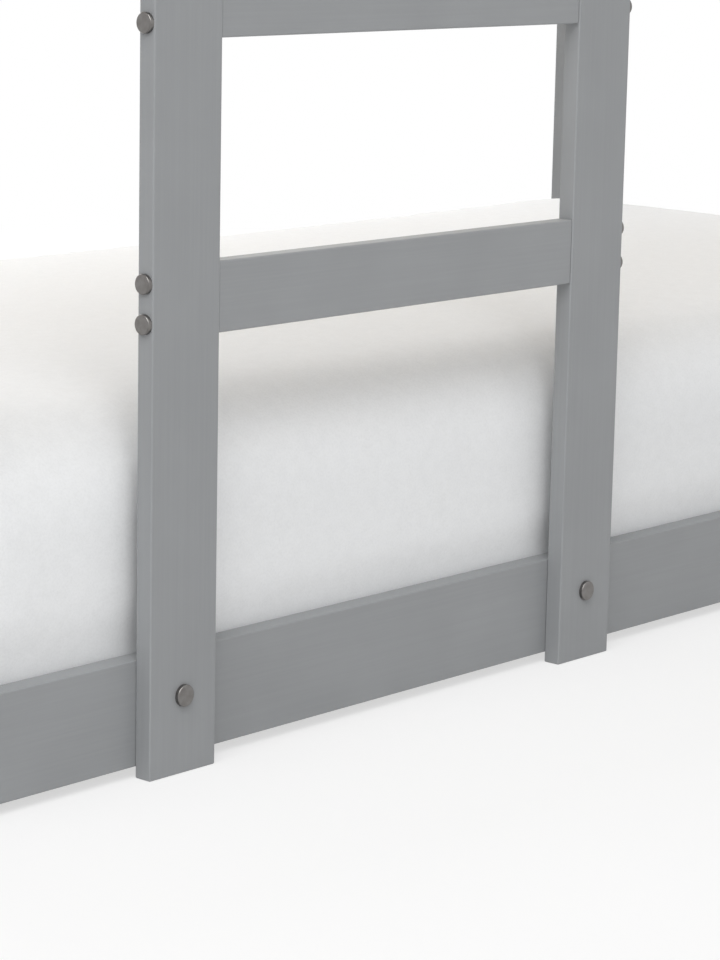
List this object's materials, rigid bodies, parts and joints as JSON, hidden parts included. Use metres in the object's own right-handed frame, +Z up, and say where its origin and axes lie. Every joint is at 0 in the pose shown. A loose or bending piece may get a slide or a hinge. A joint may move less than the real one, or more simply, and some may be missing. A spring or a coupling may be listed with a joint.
{
  "type": "loft bed",
  "caption": "Two-level loft bed in bunk form with a floor-level lower bed, guard boards, a bolted front ladder and two mattresses.",
  "frame": {"origin": "on the floor, below the middle of the bed's box", "axes": "+X along the bed towards its right end seen from the ladder side, +Y from the ladder side to the wall side, +Z up"},
  "size_m": [2.09, 0.973, 1.5],
  "materials": {
    "grey_painted_wood": "grey satin paint on planed pine",
    "bare_pine": "planed, unpainted",
    "dark_nickel_steel": "dark nickel plated disc heads",
    "zinc_steel": "zinc plated",
    "white_mattress_cover": "fine brushed woven cover over foam"
  },
  "bodies": {
    "bed_frame": {"front_left_post": "grey_painted_wood", "front_right_post": "grey_painted_wood", "rear_left_post": "grey_painted_wood", "rear_right_post": "grey_painted_wood", "lower_front_rail": "grey_painted_wood", "lower_rear_rail": "grey_painted_wood", "lower_left_rail": "grey_painted_wood", "lower_right_rail": "grey_painted_wood", "upper_front_rail": "grey_painted_wood", "upper_rear_rail": "grey_painted_wood", "upper_left_rail": "grey_painted_wood", "upper_right_rail": "grey_painted_wood", "front_left_guard_low": "grey_painted_wood", "front_left_guard_top": "grey_painted_wood", "front_right_guard_low": "grey_painted_wood", "front_right_guard_top": "grey_painted_wood", "rear_guard_low": "grey_painted_wood", "rear_guard_top": "grey_painted_wood", "left_guard_low": "grey_painted_wood", "left_guard_top": "grey_painted_wood", "right_guard_low": "grey_painted_wood", "right_guard_top": "grey_painted_wood", "left_ladder_upright": "grey_painted_wood", "right_ladder_upright": "grey_painted_wood", "rung_1": "grey_painted_wood", "rung_2": "grey_painted_wood", "rung_3": "grey_painted_wood", "lower_front_batten": "bare_pine", "lower_rear_batten": "bare_pine", "upper_front_batten": "bare_pine", "upper_rear_batten": "bare_pine", "lower_slat_01": "bare_pine", "lower_slat_02": "bare_pine", "lower_slat_03": "bare_pine", "lower_slat_04": "bare_pine", "lower_slat_05": "bare_pine", "lower_slat_06": "bare_pine", "lower_slat_07": "bare_pine", "lower_slat_08": "bare_pine", "lower_slat_09": "bare_pine", "lower_slat_10": "bare_pine", "lower_slat_11": "bare_pine", "upper_slat_01": "bare_pine", "upper_slat_02": "bare_pine", "upper_slat_03": "bare_pine", "upper_slat_04": "bare_pine", "upper_slat_05": "bare_pine", "upper_slat_06": "bare_pine", "upper_slat_07": "bare_pine", "upper_slat_08": "bare_pine", "upper_slat_09": "bare_pine", "upper_slat_10": "bare_pine", "upper_slat_11": "bare_pine", "long_bolts": "dark_nickel_steel", "short_bolts": "dark_nickel_steel", "connector_screws": "dark_nickel_steel", "barrel_nuts": "zinc_steel", "wood_screws": "zinc_steel"},
    "lower_mattress_body": {"lower_mattress": "white_mattress_cover"},
    "upper_mattress_body": {"upper_mattress": "white_mattress_cover"}
  },
  "joints": [
    {"name": "lower_mattress_lift", "type": "slide", "parent": "bed_frame", "child": "lower_mattress_body", "axis": [0, 0, 1], "range_m": [0, 0.1]},
    {"name": "upper_mattress_lift", "type": "slide", "parent": "bed_frame", "child": "upper_mattress_body", "axis": [0, 0, 1], "range_m": [0, 0.34]}
  ]
}
